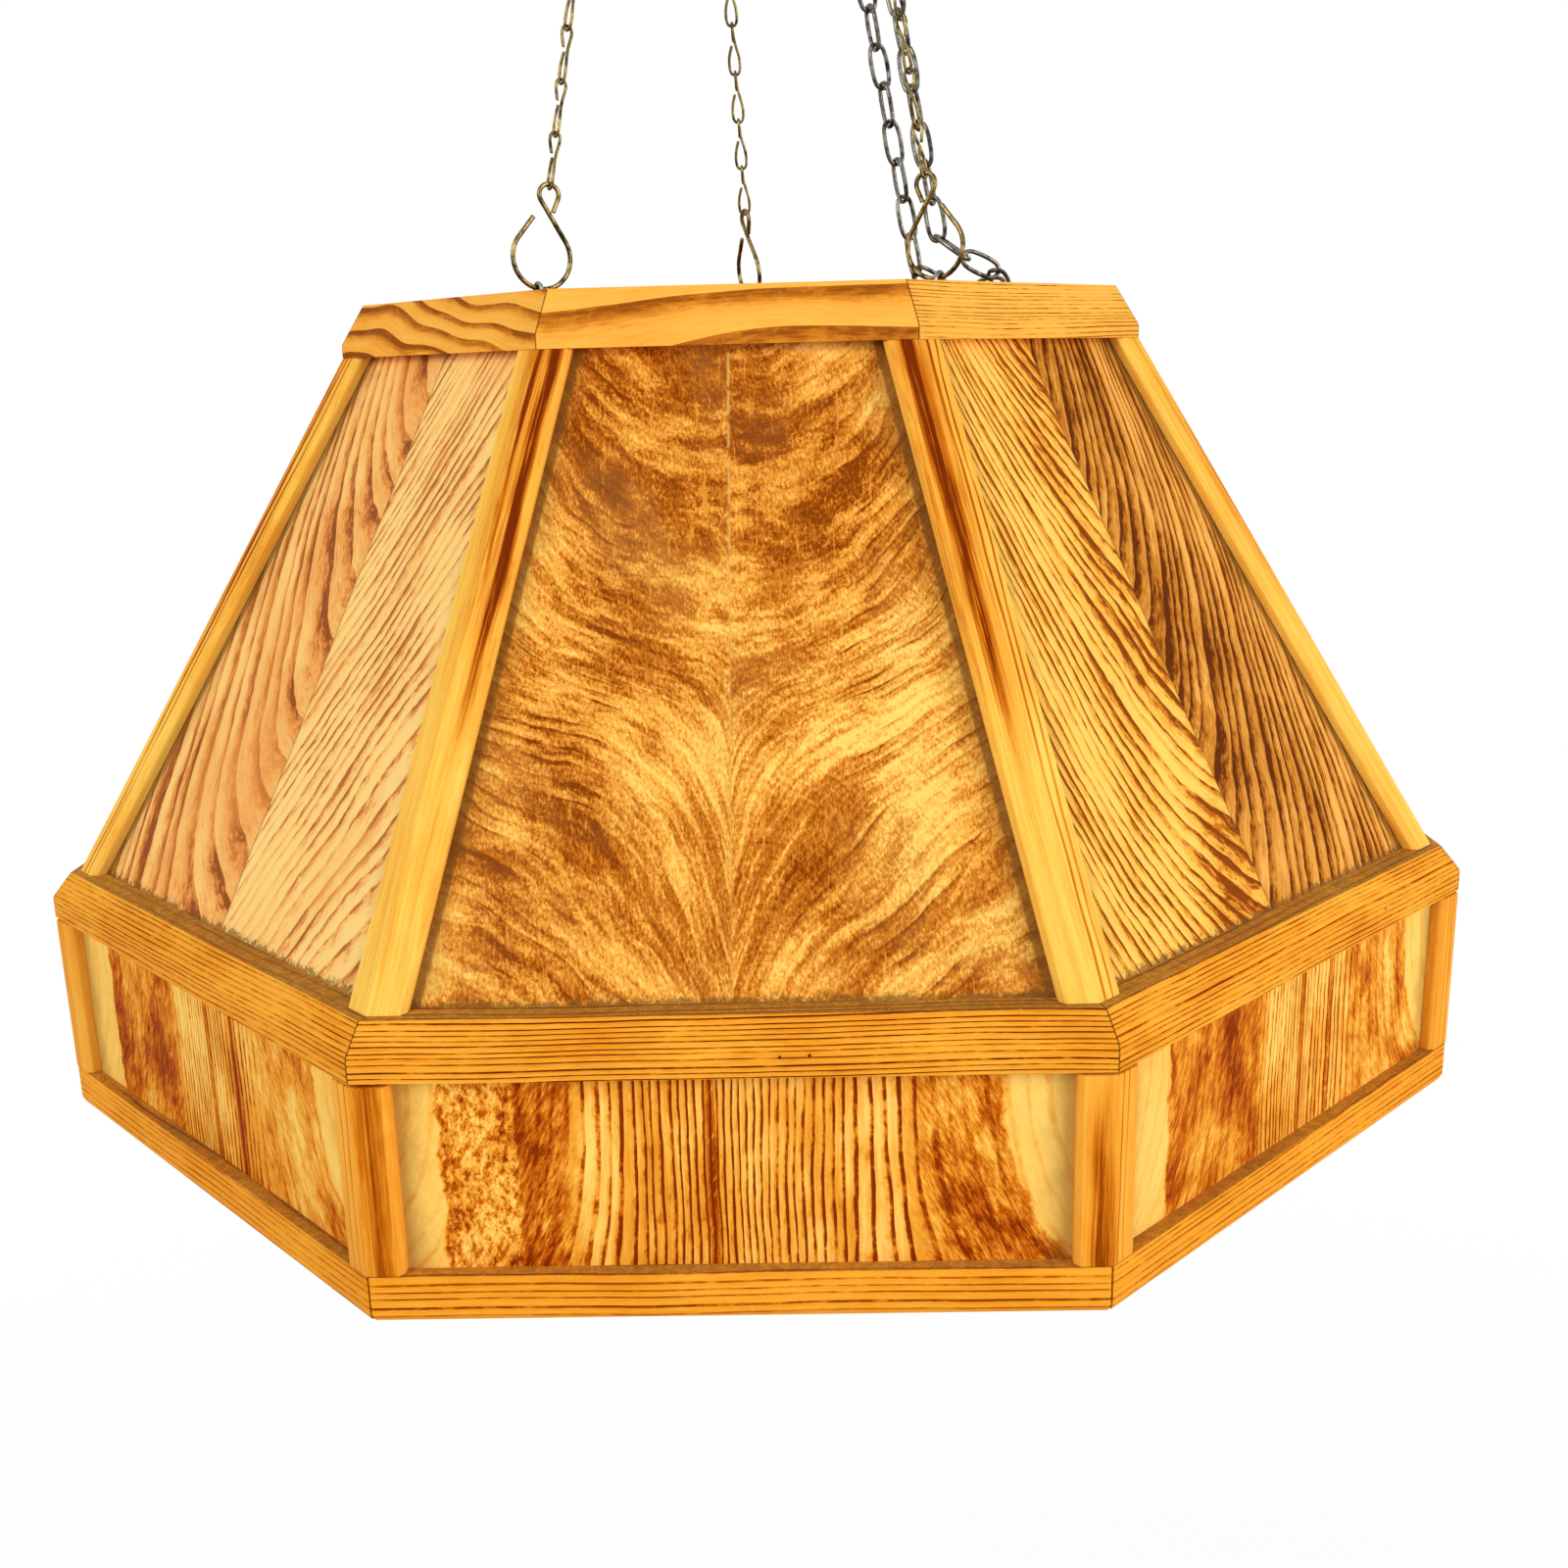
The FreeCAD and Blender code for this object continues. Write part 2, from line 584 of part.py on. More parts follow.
def build():
    """Every piece by its name."""
    pieces = {}
    single = {"shade_panel": shade_panel(), "skirt_panel": skirt_panel(), "rib": rib(), "post": post()}
    for name, piece in single.items():
        for i, copy in enumerate(round_the_sides(piece)):
            pieces["%s_%d" % (name, i + 1)] = copy
    frames = {"cap_moulding": cap(), "waist_band": band(), "bottom_rail": rail()}
    for name, piece in frames.items():
        pieces[name] = Part.makeCompound(round_the_sides(piece))
    pieces["top_board"] = top_board()

    pieces["ceiling_hook"] = ceiling_hook()
    pieces["dee_ring"] = dee_ring()
    pieces["screw_eyes"] = Part.makeCompound([screw_eye(degrees) for degrees in EYE_ANGLES.values()])
    link, hook = jack_link(), s_hook()
    for name in EYE_ANGLES:
        pieces["jack_chain_" + name], pieces["s_hook_" + name] = hung_chain(name, link, hook)
    pieces["spare_chain"] = spare_chain(spare_link())

    washer_hole, washer_top = NIPPLE_RADIUS + NIPPLE_FIT, board_top + WASHER_THICKNESS
    pieces["nipple"] = tube(NIPPLE_RADIUS, NIPPLE_BORE, board_foot - NIPPLE_INTO, board_top + NIPPLE_OVER)
    pieces["nipple_nut"] = nut()
    pieces["nipple_washer"] = tube(WASHER_RADIUS, washer_hole, board_top, washer_top)
    pieces["holder_cap"] = holder_cap()
    pieces["holder_sleeve"] = holder_sleeve()
    core_radius = HOLDER_RADIUS - HOLDER_WALL - NIPPLE_FIT
    pieces["holder_core"] = Part.makeCylinder(core_radius, CORE_THICKNESS, UP * holder_foot)
    shell_outside, shell_low = SHELL_RADIUS + SHELL_WALL, holder_foot - SHELL_LENGTH
    pieces["holder_shell"] = tube(shell_outside, SHELL_RADIUS, shell_low, holder_foot)
    tongue_low = UP * (holder_foot - TONGUE_THICKNESS)
    pieces["holder_tongue"] = Part.makeCylinder(TONGUE_RADIUS, TONGUE_THICKNESS, tongue_low)
    pieces["bulb_tip"] = Part.makeCylinder(BULB_TIP_RADIUS, BULB_TIP_HEIGHT, UP * base_top)
    pieces["bulb_base"] = bulb_base()
    pieces["bulb_glass"] = bulb_envelope(0).cut(bulb_envelope(BULB_GLASS)).Solids[0]
    return pieces


os.makedirs("parts", exist_ok=True)
for node, shape in build().items():
    shape.exportStep("parts/%s.step" % node)
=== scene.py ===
import bmesh
import bpy
import math
from mathutils import Matrix, Vector


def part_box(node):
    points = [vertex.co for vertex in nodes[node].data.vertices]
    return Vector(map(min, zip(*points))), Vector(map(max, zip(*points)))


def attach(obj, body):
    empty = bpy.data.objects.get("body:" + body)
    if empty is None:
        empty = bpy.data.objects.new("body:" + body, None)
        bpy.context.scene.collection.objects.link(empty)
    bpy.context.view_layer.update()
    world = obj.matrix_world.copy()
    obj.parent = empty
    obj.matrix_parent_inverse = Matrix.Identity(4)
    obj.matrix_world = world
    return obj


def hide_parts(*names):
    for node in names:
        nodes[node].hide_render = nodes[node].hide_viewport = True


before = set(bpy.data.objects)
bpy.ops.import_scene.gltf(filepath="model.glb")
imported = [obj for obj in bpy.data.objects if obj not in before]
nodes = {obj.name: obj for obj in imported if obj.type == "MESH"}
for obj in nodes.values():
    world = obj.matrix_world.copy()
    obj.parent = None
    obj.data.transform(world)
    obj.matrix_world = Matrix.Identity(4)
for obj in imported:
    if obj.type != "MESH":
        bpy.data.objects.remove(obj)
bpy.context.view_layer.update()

# An eight-sided pine pendant light on chains. Sizes are in metres, in the frame of the CAD model.

# Plan of the shade
SIDES = 8
TURN = math.tau / SIDES
HALF_SIDE = math.tan(TURN / 2)          # half a side's width, for each metre from the axis
CORNER_REACH = 1 / math.cos(TURN / 2)   # how much farther from the axis a corner is than its sides
FRONT = -math.pi / 2
UP = Vector((0, 0, 1))
SLOPE_FOOT = 0.2955           # from the axis to the foot of the sloping panels
SLOPE_HEAD = 0.1701
SKIRT_FACE = 0.308
RIB_LEG = 0.0135              # how far the ribs cover the panels' edges
POST_LEG = 0.011
BAND_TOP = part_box("shade_panel_1")[0].z
SLOPE_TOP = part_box("shade_panel_1")[1].z
SKIRT_FOOT, SKIRT_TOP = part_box("skirt_panel_1")[0].z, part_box("skirt_panel_1")[1].z
RAIL_FOOT, RAIL_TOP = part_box("bottom_rail")[0].z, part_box("bottom_rail")[1].z
RAIL_FACE = 0.314
RAIL_BACK = 0.296
RAIL_DROP = 0.0042            # how much deeper the rail is than in the CAD model
RAIL_EASE = (0.0015, 0.003)   # its lower edge, cut back and up
MITRE_GAP = 0.0004
CAP_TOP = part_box("cap_moulding")[1].z
LEAN = math.atan2(SLOPE_FOOT - SLOPE_HEAD, SLOPE_TOP - BAND_TOP)
HALF_FOOT = SLOPE_FOOT * HALF_SIDE

# Edges and wire
WELD_REACH = 0.00001
RAIL_ROUND = 0.0005
TRIM_ROUND = 0.0006           # on ribs and posts
JACK_WIRE = 0.0015            # the chains' wire, across
SPARE_WIRE = 0.0021

# How far the grain stands out
SLOPE_RELIEF = 0.0005
SKIRT_RELIEF = 0.0004
TRIM_RELIEF = 0.0003
METAL_RELIEF = 0.0001
PLASTIC_RELIEF = 0.00005

# Camera, worked out from the corners of the octagon in the photograph
CAMERA_PLACE = Vector((0.0312, -0.8124, -0.5901))
CAMERA_YAW, CAMERA_PITCH, CAMERA_ROLL = 1.24834, -14.38998, -1.49793   # degrees
CAMERA_LENS = 36.87           # millimetres, like the sensor's width
CAMERA_SENSOR = 36.0

# Stage
FLOOR_LEVEL = -2.7
FLOOR_REACH = 6.0
FLOOR_COLOUR = (0.9, 0.9, 0.89, 1.0)
FLOOR_SHADE = 0.12            # how much of its shadow the floor shows
SHADE_FADE = (1.0, 3.5)       # from the axis, where that shadow fades out
WHITE = (1.0, 1.0, 1.0, 1.0)
SKY_COLOUR = (1.0, 0.99, 0.97, 1.0)
SKY_LIGHT = 0.48
LAMP_AIM = Vector((0, 0, -0.7))
LAMPS = (                     # name, place, size and power
    ("key", Vector((-1.5, -1.9, 0.4)), 1.4, 32.0),
    ("fill", Vector((1.8, -1.4, -0.3)), 1.6, 33.0),
    ("back", Vector((-0.3, 2.4, 0.2)), 1.8, 36.0))


def tone(red, green, blue):
    """A linear colour from screen values of 0 to 255."""
    def linear(value):
        c = value / 255
        return c / 12.92 if c <= 0.04045 else ((c + 0.055) / 1.055) ** 2.4
    return (linear(red), linear(green), linear(blue), 1.0)


# Dirt and wear, and painted shade
# dark brown for dirt, joints and dust heaps, and also for painted shade beside the ribs and posts
GRIME_AND_SHADE = tone(122, 82, 32)
DUST = tone(132, 96, 46)
CAP_DUST = tone(214, 152, 78)
BOARD_DUST = tone(176, 128, 70)
CRUMBS = tone(232, 214, 180)
HAZE = tone(178, 124, 62)
MITRE = tone(70, 35, 8)
NAIL_HOLE = tone(52, 24, 6)

# The boards and their tones, from the lightest to the darkest
# Sides are counted from the front, which is 0, on to the right
CROTCH_SIDES = (0, 3, 5)
SPLIT_SIDES = (1, 4)
SPLIT_FEATHER = (
    dict(slope=1.1, bend=8.0, gap=0.0135, line=0.42, sub=0.1, fleck=0.36, quiet=0.2, shade=-0.08, seam=1.0,
         tones=(tone(252, 206, 98), tone(246, 176, 66), tone(202, 114, 26), tone(136, 64, 6))),
    dict(slope=1.1, bend=9.0, gap=0.015, line=0.38, sub=0.12, fleck=0.42, quiet=0.2, shade=0.02, seam=1.0,
         tones=(tone(246, 178, 86), tone(202, 128, 42), tone(156, 84, 14), tone(96, 42, 2))))
PALE_FEATHER = (
    dict(slope=0.4, bend=11.0, gap=0.024, line=0.24, sub=0.05, fleck=0.36, quiet=0.6, shade=-0.02, seam=0.5,
         tones=(tone(252, 206, 122), tone(242, 164, 84), tone(208, 124, 56), tone(150, 80, 36))),
    dict(slope=1.9, bend=-3.5, gap=0.013, line=0.28, sub=0.05, fleck=0.4, quiet=0.6, shade=-0.1, seam=-0.4,
         tones=(tone(254, 214, 130), tone(252, 192, 108), tone(226, 148, 76), tone(176, 104, 52))))
CROTCH_RING = 0.01
CROTCH = dict(
    tones=(tone(254, 210, 104), tone(234, 160, 60), tone(188, 104, 20), tone(128, 56, 1)),
    strip=tone(234, 182, 98),
    patches=(
        (-0.037, 0.2, 0.07, 0.16), (0.035, 0.205, 0.06, 0.24), (0.045, 0.1, 0.06, -0.05),
        (-0.04, 0.11, 0.06, 0.1), (-0.07, 0.06, 0.08, 0.1), (0.06, 0.04, 0.08, -0.06)))
SKIRT_RING = 0.0022
FLARE_FROM = (0.032, 0.045)     # to the left and right of the middle
SKIRT_TONES = (tone(252, 210, 108), tone(238, 158, 46), tone(192, 92, 8), tone(130, 44, 0))
RINGED_SKIRT = dict(
    line=0.85, clouded_from=(0.05, 0.052), clouding=(0.6, 2.2), spotted_from=0.0745, pale_from=(0.1, 0.088),
    streaks=(-0.008,))
CLOUDED_SKIRT = dict(
    line=0.5, clouded_from=(0.018, 0.036), clouding=(0.46, 1.5), spotted_from=0.2, pale_from=(0.087, 0.089),
    streaks=(0.006, 0.028))
RINGED_SIDES = (0, 3, 5)
TURNED_SIDES = (2, 4, 5)        # sides whose skirt boards are turned end for end
STRIP_RING = 0.006
RIB_TONES = (tone(252, 212, 98), tone(246, 176, 64), tone(200, 106, 12), tone(116, 40, 0))
RIB_STREAKS = (
    ((-0.005, 0.02, 0.12, 0.3, 0.4), (-0.005, 0.005, 0.1, 0.3, 0.6), (0.004, 0.0012, -0.1, 0.3, 0.6),
     (0.0075, 0.001, -0.1, 0.3, 0.6)),
    ((0.003, 0.02, 0.13, 0.3, 0.45), (0.0075, 0.0035, 0.12, 0.3, 0.75), (0.002, 0.0015, 0.17, 0.3, 0.5)))
POST_TONES = (tone(248, 178, 68), tone(234, 150, 40), tone(194, 102, 10), tone(132, 54, 0))
POST_STREAKS = (
    ((-0.0042, 0.0066, -0.1, 0.058, 0.95), (0.0028, 0.0007, -0.1, 0.2, 0.5),
     (0.0055, 0.0006, -0.1, 0.2, 0.5)),
    ((0.005, 0.008, -0.1, 0.2, 0.75), (-0.003, 0.0007, -0.1, 0.2, 0.5), (-0.0065, 0.0008, -0.1, 0.2, 0.5)))
BAND_TONES = (tone(246, 174, 56), tone(226, 138, 26), tone(168, 72, 0), tone(104, 34, 0))
BAND_NAILS = ((0, 0.0165, 0.0075), (0, 0.0265, 0.008), (1, 0.06, 0.009))
RAIL_TONES = (tone(246, 168, 50), tone(232, 144, 28), tone(188, 96, 3), tone(136, 58, 0))
CAP_TONES = (tone(251, 185, 77), tone(243, 165, 60), tone(204, 122, 30), tone(146, 74, 14))
BROAD_WAVE = (0.05, 5, 0.022, 0.0)
STEEP_WAVE = (0.03, 16, 0.011, 0.2)
CAP_WAVES = ((0, *BROAD_WAVE), (-1, *STEEP_WAVE), (3, *BROAD_WAVE))
PLANK_WIDTH = 0.103
PLANK_RING = 0.0052
BOARD_TONES = (tone(240, 180, 92), tone(220, 146, 62), tone(184, 108, 36), tone(140, 74, 20))


# Values that vary over a surface

class Field:
    """A number that varies over a surface: one output in a tree of nodes."""

    def __init__(self, tree, socket):
        self.tree = tree
        self.socket = socket

    def calc(self, operation, *values):
        node = self.tree.nodes.new("ShaderNodeMath")
        node.operation = operation
        for socket, value in zip(node.inputs, (self,) + values):
            feed(self.tree, socket, value)
        return Field(self.tree, node.outputs[0])

    def __add__(self, other):
        return self.calc("ADD", other)

    def __sub__(self, other):
        return self.calc("SUBTRACT", other)

    def __rsub__(self, other):
        return self.calc("MULTIPLY_ADD", -1.0, other)

    def __mul__(self, other):
        return self.calc("MULTIPLY", other)

    def __truediv__(self, other):
        return self.calc("DIVIDE", other)

    def __abs__(self):
        return self.calc("ABSOLUTE")

    def at_least(self, other):
        return self.calc("MAXIMUM", other)

    def fract(self):
        return self.calc("FRACT")

    def rise(self, low, high):
        """0 under low and 1 over high, with a smooth step between them."""
        node = self.tree.nodes.new("ShaderNodeMapRange")
        node.interpolation_type = "SMOOTHSTEP"
        feed(self.tree, node.inputs["Value"], self)
        feed(self.tree, node.inputs["From Min"], low)
        feed(self.tree, node.inputs["From Max"], high)
        return Field(self.tree, node.outputs[0])

    def near(self, middle, width):
        """1 at the middle, falling to 0 a width away."""
        return 1 - abs(self - middle).rise(0.0, width)

    __radd__ = __add__
    __rmul__ = __mul__


def feed(tree, socket, value):
    """Links a socket to what varies, or sets it to a constant."""
    if isinstance(value, Field):
        tree.links.new(value.socket, socket)
    elif isinstance(value, bpy.types.NodeSocket):
        tree.links.new(value, socket)
    else:
        socket.default_value = value


def vector(tree, x, y, z):
    node = tree.nodes.new("ShaderNodeCombineXYZ")
    for socket, value in zip(node.inputs, (x, y, z)):
        feed(tree, socket, value)
    return node.outputs[0]


def noise(tree, x, y, z=0.0, detail=2.0, rough=0.5, seed=0.0):
    """Cloudy noise of about 0 to 1 on coordinates that are already in the noise's own size."""
    node = tree.nodes.new("ShaderNodeTexNoise")
    node.noise_dimensions = "4D"
    feed(tree, node.inputs["Vector"], vector(tree, x, y, z))
    feed(tree, node.inputs["W"], seed)
    node.inputs["Scale"].default_value = 1.0
    node.inputs["Detail"].default_value = detail
    node.inputs["Roughness"].default_value = rough
    return Field(tree, node.outputs[0])


def mixed(tree, share, first, second):
    """The first colour, turning into the second as share goes from 0 to 1."""
    node = tree.nodes.new("ShaderNodeMix")
    node.data_type = "RGBA"
    node.clamp_factor = True
    feed(tree, node.inputs[0], share)
    feed(tree, node.inputs[6], first)
    feed(tree, node.inputs[7], second)
    return node.outputs[2]


def placed(tree, origin, right, up):
    """Coordinates (to the right, up, out) on a surface with that origin and those directions."""
    out = right.cross(up)
    turn = Matrix((right, up, out)).transposed().to_euler()
    where = tree.nodes.new("ShaderNodeTexCoord")
    node = tree.nodes.new("ShaderNodeMapping")
    node.vector_type = "TEXTURE"
    node.inputs["Location"].default_value = origin
    node.inputs["Rotation"].default_value = turn
    tree.links.new(where.outputs["Object"], node.inputs["Vector"])
    return parts_of(tree, node.outputs[0])


def parts_of(tree, socket):
    node = tree.nodes.new("ShaderNodeSeparateXYZ")
    tree.links.new(socket, node.inputs[0])
    return [Field(tree, output) for output in node.outputs]


def from_object(tree):
    """Coordinates (x, y, z) in the object's own frame."""
    where = tree.nodes.new("ShaderNodeTexCoord")
    return parts_of(tree, where.outputs["Object"])


def round_the_frame(tree):
    """Coordinates (along, up, out) on the sides of a mitred frame, and a side's number from the front on."""
    x, y, z = from_object(tree)
    turn = y.calc("ARCTAN2", x)
    side = ((turn - FRONT) / TURN).calc("ROUND")
    facing = side * TURN + FRONT
    cosine, sine = facing.calc("COSINE"), facing.calc("SINE")
    return y * cosine - x * sine, z, x * cosine + y * sine, side


def facing_up(tree):
    where = tree.nodes.new("ShaderNodeTexCoord")
    return parts_of(tree, where.outputs["Normal"])[2]


def new_material(name):
    material = bpy.data.materials.new(name)
    material.use_nodes = True
    tree = material.node_tree
    return material, tree, tree.nodes["Principled BSDF"]


def emboss(tree, shader, relief, depth):
    """Lets a relief of about 0 to 1 stand out by a depth."""
    bump = tree.nodes.new("ShaderNodeBump")
    bump.inputs["Distance"].default_value = depth
    feed(tree, bump.inputs["Height"], relief)
    tree.links.new(bump.outputs[0], shader.inputs["Normal"])


def finish_wood(tree, shader, colour, relief, depth):
    """A satin varnish over the wood, smoother on the hard edges of its rings."""
    feed(tree, shader.inputs["Base Color"], colour)
    feed(tree, shader.inputs["Roughness"], relief * -0.12 + 0.61)
    shader.inputs["Specular IOR Level"].default_value = 0.03
    emboss(tree, shader, relief, depth)


def paint(node, material):
    """Gives a node of the CAD model one material."""
    mesh = nodes[node].data
    mesh.materials.clear()
    mesh.materials.append(material)


# Pine

def stained(tree, depth, tones):
    """The wood's colour: from the lightest of four tones at a depth of 0 to the darkest at 1."""
    light, warm, brown, dark = tones
    colour = mixed(tree, depth.rise(-0.05, 0.38), light, warm)
    colour = mixed(tree, depth.rise(0.3, 0.7), colour, brown)
    return mixed(tree, depth.rise(0.62, 1.0), colour, dark)


def figure(tree, flow, along, gap, seed, line, soft, fleck, stain, spread, thin=0.62, sub=0.0, scale=1.0):
    """Depth of tone and relief of pine, from how far a point lies across its rings and along its grain.

    gap is the spacing of the rings and spread how uneven they are. line and sub say how strong the rings'
    dark edges and the fine lines between them are, thin where in a ring its edge begins, soft how much each
    ring darkens towards its edge, fleck and stain how strong the broken dashes and the broad clouds are.
    scale makes the fibres finer."""
    ring = flow / gap
    ring = ring + (noise(tree, ring * 0.35, 0.0, seed=seed, detail=1) - 0.5) * spread
    phase = ring.fract()
    strength = noise(tree, ring.calc("FLOOR") * 3.7, 0.0, seed=seed, detail=0).rise(0.3, 0.65) * 0.6 + 0.5
    between = (ring * 3.3).fract()
    deepening = phase.rise(0.1, 0.95)
    edge = phase.rise(thin, thin * 0.5 + 0.48) * (1 - phase.rise(0.94, 1.0)) * strength * line
    edge = edge.at_least(between.rise(0.55, 0.8) * (1 - between.rise(0.9, 1.0)) * sub)
    fibre = noise(tree, flow * (1100 * scale), along * 40, seed=seed, detail=4, rough=0.75) - 0.5
    dash = noise(tree, flow * (430 * scale), along * 130, seed=seed, detail=4, rough=0.7) - 0.5
    cloud = noise(tree, flow * (32 * scale), along * 16, seed=seed, detail=4, rough=0.6) - 0.5
    speckle = (dash * 1.6 + deepening * 0.3 + cloud * (1.2 * stain)).rise(0.14, 0.34)
    kept = (dash + cloud * (0.4 + stain)).rise(-0.2, 0.12)
    drawn = edge * (kept * 0.75 + 0.25)
    depth = cloud * (1.6 * stain) + fibre * 0.9 + deepening * deepening * soft + speckle * fleck
    return depth + drawn + 0.14, drawn + fibre * 0.3


def spot(u, v, right, up, size):
    """1 at a place on a panel, fading to 0 at a distance."""
    du, dv = u - right, v - up
    return 1 - (du * du + dv * dv).calc("SQRT").rise(size * 0.2, size)


def half_width(v):
    """Half the width of a sloping panel, at a height on it."""
    return v * (-math.sin(LEAN) * HALF_SIDE) + HALF_FOOT


def outer_face(w):
    """1 on a board's outer face, which lies at 0, and 0 behind it."""
    return w.rise(-0.002, -0.0005)


def panel_grime_and_shade(tree, u, v, w, seed):
    """Painted shade mixed with dust along the ribs, a thin painted shadow line at their edges, and crumbs on
    the band, on a sloping panel's outer face.
    """
    inside = half_width(v) - abs(u) - RIB_LEG
    ragged = noise(tree, u * 60, v * 60, seed=seed, detail=4, rough=0.7) - 0.5
    # painted shade along the ribs, mixed with some dust
    beside = 1 - (inside + ragged * 0.02).rise(0.0, 0.011)
    crumbs = noise(tree, u * 420, v * 420, seed=seed + 1, detail=3, rough=0.6) - 0.5
    below = 1 - (v + ragged * 0.006 + crumbs * 0.012).rise(0.0005, 0.003)
    # a thin painted shadow line where the panel meets a rib
    rib_shadow_line = 1 - inside.rise(0.0002, 0.0014)
    return (beside * 0.3 + below * 0.75 + rib_shadow_line * 0.5) * outer_face(w)


def feather_panel(name, origin, right, up, seed, boards):
    """Two boards whose rings run down to the seam between them, like a feather's barbs.

    Each board gives its rings' slope at the seam and how it grows away from it, their spacing, how strong
    their edges, fine lines and dashes are, how quiet they get in patches, how much darker it is all over and
    at the seam, and its four tones."""
    material, tree, shader = new_material(name)
    u, v, w = placed(tree, origin, right, up)
    off = u + (noise(tree, v * 9, 0.0, seed=seed) - 0.5) * 0.006
    beyond = off.rise(-0.0003, 0.0003)
    colours, reliefs = [], []
    m = abs(off)
    reach = m / half_width(v) * HALF_FOOT
    for number, board in enumerate(boards):
        board_seed = seed + number * 3
        wander = noise(tree, u * 9, v * 7, seed=board_seed, detail=1) - 0.5
        ripple = noise(tree, u * 45, v * 30, seed=board_seed, detail=3, rough=0.6) - 0.5
        flow = v - reach * board["slope"] - reach * reach * board["bend"] + wander * 0.06 + ripple * 0.013
        depth, relief = figure(
            tree, flow, m + v, board["gap"], board_seed, line=board["line"], soft=0.45, fleck=board["fleck"],
            stain=0.8, spread=2.2, thin=0.76, sub=board["sub"], scale=0.8)
        patch = noise(tree, u * 20, v * 14, seed=board_seed + 1, detail=2).rise(0.36, 0.6)
        spots = noise(tree, flow * 150, (m + v) * 90, seed=board_seed + 2, detail=4, rough=0.65)
        to_seam = (1 - (reach + ripple * 0.04).rise(0.0, 0.075)) * patch * board["seam"]
        depth = (depth - 0.2) * (patch * board["quiet"] + (1 - board["quiet"])) + 0.2
        depth = depth + to_seam * (spots.rise(0.45, 0.6) * 0.3 + 0.12)
        depth = depth - reach.rise(0.05, 0.12) * 0.1 + board["shade"]
        colours.append(stained(tree, depth, board["tones"]))
        reliefs.append(relief)
    colour = mixed(tree, beyond, *colours)
    relief = reliefs[0] * (1 - beyond) + reliefs[1] * beyond
    joint = m.near(0.0, 0.0007)
    colour = mixed(tree, joint * 0.5, colour, GRIME_AND_SHADE)
    # dust, crumbs and painted shade along the ribs
    colour = mixed(tree, panel_grime_and_shade(tree, u, v, w, seed), colour, GRIME_AND_SHADE)
    finish_wood(tree, shader, colour, relief - joint * 0.6, SLOPE_RELIEF)
    return material


def crotch_panel(name, origin, right, up, seed, tones, strip, patches):
    """Two boards from the fork of a trunk: clouded, with rings that sag to the seam and run out under it.

    Each patch gives its place, its size and how much darker it is."""
    material, tree, shader = new_material(name)
    u, v, w = placed(tree, origin, right, up)
    m = abs(u)
    board_seed = u.rise(-0.0002, 0.0002) * 2 + seed
    low = 1 - v.rise(0.06, 0.15)
    wander = noise(tree, u * 15, v * 12, seed=board_seed, detail=3) - 0.5
    sag = v - m * m * 9.0
    funnel = v - ((m + 0.012) / 0.012).calc("LOGARITHM", math.e) * 0.055
    flow = sag * (1 - low) + funnel * low + wander * 0.05
    ring = flow / CROTCH_RING
    phase = (ring + (noise(tree, ring * 0.5, 0.0, seed=board_seed) - 0.5) * 2.0).fract()
    fade = noise(tree, flow * 40, m * 40, seed=board_seed, detail=3) * m.rise(0.01, 0.05)
    band = phase.rise(0.0, 0.75) * (1 - phase.rise(0.85, 1.0)) * fade.rise(0.35, 0.6)
    edge = phase.rise(0.74, 0.88) * (1 - phase.rise(0.92, 1.0)) * fade.rise(0.42, 0.6)
    cloud = noise(tree, flow * 48, u * 16, seed=board_seed, detail=5, rough=0.62) - 0.5
    broad = noise(tree, u * 22, v * 15, seed=board_seed, detail=3) - 0.5
    blotch = noise(tree, flow * 190, u * 80, seed=board_seed, detail=4, rough=0.65) - 0.5
    fibre = noise(tree, (u + flow * 0.4) * 700, v * 130, seed=board_seed, detail=4, rough=0.75) - 0.5
    speck = noise(tree, u * 900, v * 500, seed=board_seed, detail=4, rough=0.75) - 0.5
    pale = noise(tree, u * 480 + m * 90, v * 55, seed=board_seed + 5, detail=2).rise(0.58, 0.68)
    zone = (cloud + broad * 0.6 + blotch * 0.7 + speck * 0.5).rise(-0.07, 0.07)
    depth = cloud * 1.5 + broad * 1.3 + blotch * 1.2 + fibre * 0.9 + speck * 1.7
    depth = depth + band * 0.2 + zone * 0.13 + 0.36
    for patch_u, patch_v, size, amount in patches:
        depth = depth + spot(u, v, patch_u, patch_v, size) * amount
    depth = depth - pale * depth.rise(0.5, 0.8) * 0.36 + edge * 0.24
    haze = noise(tree, u * 20, v * 14, seed=board_seed + 9, detail=3).rise(0.46, 0.64)
    haze = haze * (speck + 0.5).rise(0.35, 0.65)
    colour = mixed(tree, haze * 0.45, stained(tree, depth, tones), HAZE)
    dashes = noise(tree, v * 160, 0.0, seed=seed, detail=2).rise(0.5, 0.6) * v.rise(0.12, 0.2)
    joint = u.near(0.0, 0.001) * (v.rise(0.1, 0.2) * 0.45 + 0.2)
    colour = mixed(tree, joint, colour, mixed(tree, dashes, strip, tones[2]))
    # dust, crumbs and painted shade along the ribs
    colour = mixed(tree, panel_grime_and_shade(tree, u, v, w, seed), colour, GRIME_AND_SHADE)
    finish_wood(tree, shader, colour, edge * 0.6 + fibre * 0.5 + band * 0.3, SLOPE_RELIEF)
    return material


